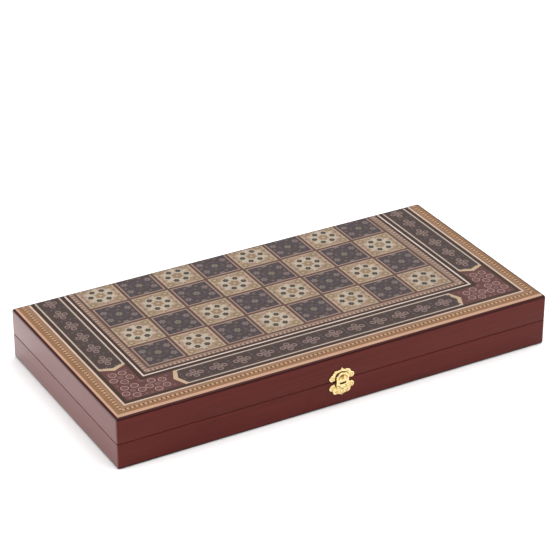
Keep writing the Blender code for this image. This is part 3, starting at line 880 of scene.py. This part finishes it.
def add_stamped(node, outlines, relief, colouring, front_y=PLATE_FRONT, step=0.4):
    """A stamped sheet standing upright: its outline, then any holes. Its front stands relief(x, z) proud and
    takes, face by face, plain brass or the painted shade that the given function picks at (x, z)."""
    loops = [anticlockwise(outline) for outline in outlines]
    verts, faces, owners = triangulated(loops, inner_spots(outlines, step), 1e-5)
    bm = bmesh.new()
    made = []
    for spot in verts:
        inward = min(1.0, distance_to(spot.x, spot.y, outlines) / ROUNDED)
        round_off = ROUNDED * (1 - math.sqrt(1 - (1 - inward) ** 2))
        proud = relief(spot.x, spot.y) - round_off
        made.append(bm.verts.new((spot.x * MM, (front_y - proud) * MM, MIDDLE + spot.y * MM)))
    for face, owner in zip(faces, owners):
        if owner and max(owner) == 0:
            middle = middle_of(verts, face)
            bm.faces.new([made[i] for i in face]).material_index = colouring(middle.x, middle.y)
    bmesh.ops.delete(bm, geom=[vert for vert in bm.verts if not vert.link_faces], context="VERTS")
    front_faces = bm.faces[:]
    back_y = (front_y + THICKNESS) * MM
    back = {}
    for item in extruded_rim(bm):
        if isinstance(item, bmesh.types.BMVert):
            item.co.y = back_y
            back[item.co.x, item.co.z] = item
    for face in front_faces:
        corners = []
        for vert in face.verts:
            key = (vert.co.x, vert.co.z)
            if key not in back:
                back[key] = bm.verts.new((vert.co.x, back_y, vert.co.z))
            corners.append(back[key])
        bm.faces.new(corners[::-1])
    piece = finish_mesh(f"{node}_stamped", outward(bm), [CLASP_BRASS, HALF_SHADE_BRASS, DEEP_SHADE_BRASS], 50)
    place(piece, node.split("_")[0], "clasp_brass", node)


LID_PLATE = mirrored(
    [(0, 0.5), (8.4, 0.5)]
    + arc((10.9, 3.6), 3.2, -130, 60, 14)
    + arc((6.3, 7.4), 3.9, 0, 100, 10)
    + [(4.2, 11.2), (3.0, 11.3), (2.4, 11.9), (1.6, 12.3), (1.0, 12.9), (0.5, 13.6), (0, 13.8)]
)
BASE_PLATE = mirrored(
    [(0, -16.8), (0.7, -16.4), (1.4, -15.8), (2.4, -15.5), (3.4, -15.0)]
    + arc((6.5, -11.4), 3.5, -110, 15, 10)
    + arc((10.4, -7.1), 3.6, -45, 100, 14)
    + [(8.4, -2.6), (8.0, -0.8), (0, -0.8)]
)
HASP = mirrored(
    [(0, -6.4), (3.0, -6.4), (3.0, -5.2), (5.6, -5.2), (6.6, -4.9), (7.0, -4.2), (7.0, 4.0)]
    + [(7.0 * x, 4.0 + 5.0 * z) for x, z in arc((0, 0), 1, 0, 90, 15)[1:]]
)
# The dark mouth under the dome, a little narrower in its middle
SLOT = [(-3.4, -2.6), (-2.7, -3.0), (2.7, -3.0), (3.4, -2.6)]
SLOT += [(3.4, -1.2), (1.5, -1.6), (-1.5, -1.6), (-3.4, -1.2)]


def bulge(x, z, centre, radius, height):
    """A rounded boss about a centre."""
    away = math.hypot(x - centre[0], z - centre[1]) / radius
    return height * math.cos(min(1.0, away) * math.pi / 2) ** 2


def bead_line(away, at, width, height):
    """A raised line where away is near at."""
    return height * max(0.0, 1 - abs((away - at) / width)) ** 0.5


def plate_relief(outline, scroll):
    """Veined scrolls and a bead round the edge."""

    def relief(x, z):
        away = distance_to(x, z, [outline])
        height = PUFF * math.sqrt(min(1.0, away / 1.8)) + bead_line(away, 0.75, 0.45, 0.12)
        for u, v, radius in scroll:
            height += bead_line(math.hypot(abs(x) - u, z - v), radius, 0.42, 0.14)
        return height

    return relief


BASE_VEINS = plate_relief(BASE_PLATE, ((10.2, -7.0, 1.9), (6.4, -11.6, 2.0)))


def base_relief(x, z):
    """The base plate's scrolls, with a keyhole stamped between them."""
    keyhole = bulge(x, z, (0, -9.6), 2.4, 0.30) + bulge(x, z * 0.55 - 5.72, (0, -12.6), 1.5, 0.30)
    return BASE_VEINS(x, z) + keyhole - bead_line(math.hypot(x, z + 9.6), 1.1, 0.45, 0.25)


def hasp_relief(x, z):
    """A raised border, and a dome over the slot."""
    from_edge = distance_to(x, z, [HASP])
    border = bead_line(from_edge, 0.9, 0.5, 0.16) + 0.22 * math.sqrt(min(1.0, from_edge / 1.2))
    away = min(1.0, math.hypot(x, z - 2.2) / 3.7)
    return min(DOME, max(border, DOME * math.sqrt(1 - away * away) ** 1.1))


def near_ring(x, z, centre, radius, width):
    return abs(math.hypot(x - centre[0], z - centre[1]) - radius) < width


def lid_painted_shade(x, z):
    """Painted shadow along the hasp's arch, wider at its left, and lighter painted shade round the nails."""
    if z > 0.5 and distance_to(x, z, [HASP]) < (1.1 if x < 0 else 0.7):
        return DEEP_SHADE
    nail_shade = near_ring(abs(x), z, (10.4, 4.0), 1.55, 0.35) or near_ring(abs(x), z, (5.6, 8.2), 1.2, 0.4)
    return HALF_SHADE if nail_shade else PLAIN


def base_painted_shade(x, z):
    """Deep painted shade behind the hasp's slot, in its shadow and keyhole; lighter round the oval and nails.
    """
    behind = abs(x) < 4.2 and -4.2 < z < -0.4
    keyhole = math.hypot(x, z + 9.0) < 0.8 or (abs(x) < 0.45 and -10.6 < z < -9.0)
    shade = -8.3 < x < -6.5 and z > -5.0
    if behind or keyhole or shade:
        return DEEP_SHADE
    oval = abs(math.hypot(x / 1.7, (z + 11.4) / 3.4) - 1) < 0.16
    nails = near_ring(abs(x), z, (10.4, -7.0), 1.55, 0.35) or near_ring(abs(x), z, (5.6, -12.0), 1.2, 0.4)
    return HALF_SHADE if oval or nails else PLAIN


def hasp_painted_shade(x, z):
    """Painted shade in the broad groove over the dome and on its left shoulder, deepest mid-groove and along
    the slot.
    """
    over = z > 2.2 and near_ring(x, z, (0, 1.9), 4.7, 0.8)
    if distance_to(x, z, [SLOT]) < 0.25 or (over and -4.2 < x < 0.8):
        return DEEP_SHADE
    return HALF_SHADE if over or math.hypot(x + 0.8, z - 3.9) < 1.7 else PLAIN


def add_knuckle(name, body, low_x, high_x):
    """Curled sheet round the hasp's pin: a tube along X as one closed solid with softened ends, in mm."""
    outer, bore, ease = 1.3, 0.6, 0.12
    profile = [(bore, low_x), (outer - ease, low_x), (outer, low_x + ease)]
    profile += [(outer, high_x - ease), (outer - ease, high_x), (bore, high_x)]
    bm = bmesh.new()
    rings = []
    for radius, x in profile:
        spots = [polar(HASP_AXIS.yz, radius * MM, 10 * i) for i in range(36)]
        rings.append([bm.verts.new((x * MM, *spot)) for spot in spots])
    place(finish_mesh(name, outward(closed_sweep(bm, rings)), [CLASP_BRASS]), body, "clasp_brass")


def facing_front(x, y, z):
    """Stands a turned piece on a plate's front, pointing out of it."""
    return Matrix.Translation((x, y, z)) @ Matrix.Rotation(math.pi / 2, 4, "X")


def add_clasp():
    """Stamped plates, the hasp with its knuckle, the nose it springs over and the ears that hold its pin."""
    lid_relief = plate_relief(LID_PLATE, ((10.7, 3.8, 1.8), (6.2, 7.6, 2.3)))
    add_stamped("lid_clasp_plate", [LID_PLATE], lid_relief, lid_painted_shade)
    boss = [(0, -0.3), (2.6, -0.3), (2.6, 0.15), (2.45, 0.4), (2.1, 0.65), (1.5, 0.82), (0.8, 0.88), (0, 0.9)]
    nose = turned(boss, 40, facing_front(0, PLATE_FRONT * MM, MIDDLE + 3.0 * MM))
    place(finish_mesh("clasp_nose", nose, [CLASP_BRASS]), "lid", "clasp_brass")
    add_stamped("base_clasp_plate", [BASE_PLATE], base_relief, base_painted_shade)
    add_knuckle("clasp_ear_left", "base", -7.0, -3.5)
    add_knuckle("clasp_ear_right", "base", 3.5, 7.0)
    add_stamped("hasp", [HASP, SLOT], hasp_relief, hasp_painted_shade, HASP_AXIS.y / MM - 0.4, 0.35)
    add_knuckle("hasp_knuckle", "hasp", -3.2, 3.2)


def add_nails():
    """Domed heads for the nails that hold the clasp plates."""
    radius, rim, height = 1.2, 0.12, 0.55
    dome = [(radius * x, rim + (height - rim) * z) for x, z in arc((0, 0), 1, 15, 75, 4)]
    profile = [(0, -0.3), (radius, -0.3), (radius, rim), *dome, (0, height)]
    for body in ("lid", "base"):
        for side in ("left", "right"):
            node = f"{body}_clasp_nail_{side}"
            low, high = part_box(node)
            matrix = facing_front((low.x + high.x) / 2, PLATE_FRONT * MM, (low.z + high.z) / 2)
            nail = finish_mesh(f"{node}_head", turned(profile, 24, matrix), [CLASP_BRASS])
            place(nail, body, "clasp_brass", node)


def add_screw_heads():
    """Slotted countersunk heads over the hinges' screws."""
    head = [(0, -0.5), (2.0, -0.5), (2.05, 0.04), (1.7, 0.09), (0, 0.11)]
    for body, face, up in (("base", RIM, Matrix()), ("lid", HEIGHT - RIM, Matrix.Rotation(math.pi, 4, "X"))):
        for number in (1, 2):
            low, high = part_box(f"{body}_hinge_leaf_{number}")
            for name, side in (("left", -1), ("right", 1)):
                x = (low.x + high.x) / 2 + side * 11 * MM
                seat = Matrix.Translation((x, low.y + 3.1 * MM, face)) @ up
                screw_name = f"{body}_hinge_screw_{number}_{name}"
                screw = finish_mesh(screw_name, turned(head, 32, seat), [HINGE_BRASS])
                slot = box_solid((-2.6 * MM, -0.24 * MM, -0.25 * MM), (2.6 * MM, 0.24 * MM, 0.5 * MM))
                turn = math.radians(25 + 70 * number + 40 * side)
                slot.transform(seat @ Matrix.Rotation(turn, 4, "Z"))
                place(carve(screw, [slot]), body, "hinge_brass")


# ---- checkers and dice


def checker_profile():
    """A checker's section in mm: a dished middle, a raised ring, a groove and a round edge."""
    top = [(0, 2.9), (6.0, 2.9), (7.2, 3.05), (7.9, 3.5), (8.3, 4.05), (8.9, 4.3), (9.5, 4.05), (9.8, 3.6)]
    top += [(10.3, 3.5), (10.8, 3.9), (11.2, 4.35), (11.8, 4.5), (13.4, 4.5), (14.2, 4.25), (14.75, 3.7)]
    top += [(15.0, 2.9)]
    edge = [(15.0, 0.7), (14.75, 0.35), (14.75, -0.35), (15.0, -0.7)]
    return top + edge + [(r, -z) for r, z in reversed(top)]


def add_copy(name, mesh, node, slot, angles):
    """Puts a shared mesh where a loose CAD node lies, which is its own body."""
    low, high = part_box(node)
    piece = link(name, mesh)
    piece.location = (low + high) / 2
    piece.rotation_euler = [math.radians(angle) for angle in angles]
    place(piece, node, slot, node)


def add_checkers():
    for kind, material, lead in (("light", LIGHT_WOOD, 0), ("dark", DARK_WOOD, 20)):
        mesh = new_mesh(f"{kind}_checker_turned", turned(checker_profile(), 64), [material], 50)
        for number in range(1, 16):
            node = f"{kind}_checker_{number:02d}"
            add_copy(f"{node}_turned", mesh, node, f"{kind}_checker", (0, 0, 47 * number + lead))


PIPS = {
    1: [(0, 0)],
    2: [(-1, -1), (1, 1)],
    3: [(-1, -1), (0, 0), (1, 1)],
    4: [(-1, -1), (-1, 1), (1, -1), (1, 1)],
    5: [(-1, -1), (-1, 1), (1, -1), (1, 1), (0, 0)],
    6: [(-1, -1), (-1, 0), (-1, 1), (1, -1), (1, 0), (1, 1)],
}
FACES = {1: (0, 0, 1), 6: (0, 0, -1), 2: (0, -1, 0), 5: (0, 1, 0), 3: (1, 0, 0), 4: (-1, 0, 0)}


def die_mesh(half):
    """A rounded cube with a painted dimple for each pip. The opposite faces add up to seven."""
    bm = bmesh.new()
    bmesh.ops.create_cube(bm, size=2 * half)
    everything = bm.edges[:] + bm.verts[:]
    bmesh.ops.bevel(bm, geom=everything, offset=1.6 * MM, segments=5, profile=0.5, affect="EDGES")
    die = finish_mesh("die", outward(bm), [DIE_PLASTIC, PIP_PAINT])
    cutters = []
    for number, normal in FACES.items():
        out = Vector(normal)
        across = Vector((1, 0, 0)) if abs(out.x) < 0.5 else Vector((0, 1, 0))
        along = out.cross(across)
        for a, b in PIPS[number]:
            ball = bmesh.new()
            bmesh.ops.create_uvsphere(ball, u_segments=16, v_segments=10, radius=1.7 * MM)
            spot = out * (half + 1.0 * MM) + across * a * 3.5 * MM + along * b * 3.5 * MM
            ball.transform(Matrix.Translation(spot))
            cutters.append(ball)
    carve(die, cutters)
    for face in die.data.polygons:
        reach = sorted(abs(c) for c in face.center)
        inside = reach[2] < half - 0.02 * MM and reach[1] <= half - 2.0 * MM
        flat = max(abs(c) for c in face.normal) >= 0.9999
        face.material_index = int(inside and not flat)
    die.data.set_sharp_from_angle(angle=math.radians(30))
    mesh = die.data
    bpy.data.objects.remove(die)
    return mesh


def add_dice():
    low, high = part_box("die_1")
    mesh = die_mesh((high.x - low.x) / 2)
    for number, lean in ((1, 0), (2, 90)):
        add_copy(f"die_{number}_pips", mesh, f"die_{number}", "die_plastic", (lean, 0, 0))


# ---- kept CAD nodes, light and camera

CAMERA_AZIMUTH = -29.43
CAMERA_ELEVATION = 28.39
CAMERA_TARGET = (0.04671, 0.08342, 0.02855)
CAMERA_DISTANCE = 2.327
CAMERA_LENS = 143.13
WORLD_BACK = 0.70
WORLD_FRONT = 0.20
# Each soft lamp's name, place, target, size and power
LAMPS = [
    ("overhead", (0.4, -0.25, 2.3), (0.05, -0.05, 0), (2.6, 2.4), 54),
    ("right_front", (2.1, -1.4, 0.9), (0.1, -0.1, 0), (1.2, 0.9), 15),
    ("left", (-1.4, 0.25, 0.42), (-0.4, 0.0, 0), (1.0, 0.5), 11),
]


def finish_kept_nodes():
    """Hinge leaves and pins keep their CAD shape and take better metal."""
    metals = {"hasp_pin": CLASP_BRASS}
    for number in (1, 2):
        metals[f"base_hinge_leaf_{number}"] = metals[f"lid_hinge_leaf_{number}"] = HINGE_BRASS
        metals[f"hinge_pin_{number}"] = PIN_STEEL
    for node, material in metals.items():
        mesh = frame["nodes"][node].data
        mesh.materials.clear()
        mesh.materials.append(material)


def aim(obj, place_, direction):
    obj.location = place_
    obj.rotation_euler = direction.to_track_quat("-Z", "Y").to_euler()


def add_lamps():
    for name, spot, target, size, power in LAMPS:
        data = bpy.data.lights.new(name, "AREA")
        data.shape = "RECTANGLE"
        data.size, data.size_y = size
        data.energy = power
        aim(link(name, data), spot, Vector(target) - Vector(spot))


def add_floor():
    s = Shader("studio_floor")
    s.set(Base_Color=(0.96, 0.96, 0.96, 1.0), Roughness=0.9, Specular_IOR_Level=0.1)
    bm = bmesh.new()
    bmesh.ops.create_grid(bm, x_segments=1, y_segments=1, size=12.0)
    finish_mesh("studio_floor", bm, [s.material])


def add_world():
    """A white surround, dimmer low down in front of the box, where its front would mirror it."""
    world = bpy.data.worlds.new("studio")
    world.use_nodes = True
    nodes, links = world.node_tree.nodes, world.node_tree.links
    background = nodes["Background"]
    background.inputs["Color"].default_value = (1.0, 1.0, 1.0, 1.0)
    axes = nodes.new("ShaderNodeSeparateXYZ")
    links.new(nodes.new("ShaderNodeTexCoord").outputs["Generated"], axes.inputs[0])

    def ramp(axis, start, end, low, high):
        node = nodes.new("ShaderNodeMapRange")
        node.interpolation_type = "SMOOTHSTEP"
        links.new(axes.outputs[axis], node.inputs["Value"])
        for socket, value in (("From Min", start), ("From Max", end), ("To Min", low), ("To Max", high)):
            node.inputs[socket].default_value = value
        return node.outputs["Result"]

    blend = nodes.new("ShaderNodeMix")
    links.new(ramp("Y", -0.7, -0.1, 1.0, 0.0), blend.inputs[0])
    blend.inputs[2].default_value = WORLD_BACK
    links.new(ramp("Z", 0.1, 0.8, WORLD_FRONT, WORLD_BACK), blend.inputs[3])
    links.new(blend.outputs[0], background.inputs["Strength"])
    bpy.context.scene.world = world
    bpy.context.scene.view_settings.view_transform = "Standard"


def add_camera():
    azimuth, elevation = math.radians(CAMERA_AZIMUTH), math.radians(CAMERA_ELEVATION)
    away = math.cos(elevation)
    back = Vector((math.sin(azimuth) * away, -math.cos(azimuth) * away, math.sin(elevation)))
    data = bpy.data.cameras.new("camera")
    data.lens = CAMERA_LENS
    data.sensor_width = 36
    camera = link("camera", data)
    aim(camera, Vector(CAMERA_TARGET) + back * CAMERA_DISTANCE, -back)
    bpy.context.scene.camera = camera


FRAME_WOOD = lacquered_wood("lacquered_wood", 1.21)
END_WOOD = lacquered_wood("lacquered_end_wood", 1.5)
BOARD_EDGE = two_tone("board_edge", ((90, 90, 1500), 5.0, 0.0), (0.20, 0.11, 0.055), (0.32, 0.19, 0.10),
                      (0.55, 0.75), 0.05)
CLASP_BRASS = brass("clasp_brass", (0.84, 0.66, 0.33), 0.14)
# Darker brass for the clasp's painted shade: deep in gaps, holes and shadows, lighter round nails, oval and
# dome
DEEP_SHADE_BRASS = brass("clasp_deep_shade_brass", (0.13, 0.058, 0.013), 0.32)
HALF_SHADE_BRASS = brass("clasp_half_shade_brass", (0.50, 0.31, 0.085), 0.24)
HINGE_BRASS = brass("hinge_brass", (0.85, 0.62, 0.28), 0.32)
PIN_STEEL = two_tone("drawn_steel", ((60, 3000, 3000), 3.0, 0.0), (0.42, 0.40, 0.36), (0.62, 0.60, 0.56),
                     (0.28, 0.45), 0.01, Metallic=1.0)
LIGHT_WOOD = turned_wood("light_checker_wood", (0.42, 0.24, 0.105), (0.66, 0.45, 0.23))
DARK_WOOD = turned_wood("dark_checker_wood", (0.022, 0.010, 0.007), (0.075, 0.030, 0.017))
DIE_PLASTIC = two_tone("die_plastic", ((260, 260, 260), 3.0, 1.5), (0.72, 0.66, 0.52), (0.86, 0.82, 0.70),
                       (0.16, 0.26), Coat_Weight=0.5, Coat_Roughness=0.05, Subsurface_Weight=0.12,
                       Subsurface_Radius=(0.6 * MM, 0.4 * MM, 0.25 * MM), Subsurface_Scale=1.0)
PIP_PAINT = two_tone("pip_paint", ((3000, 3000, 3000), 2.0, 0.0), (0.012, 0.010, 0.010),
                     (0.035, 0.030, 0.030), (0.35, 0.5))

add_camera()
add_floor()
add_world()
add_lamps()
add_frames()
add_boards()
add_clasp()
add_nails()
add_screw_heads()
add_checkers()
add_dice()
finish_kept_nodes()
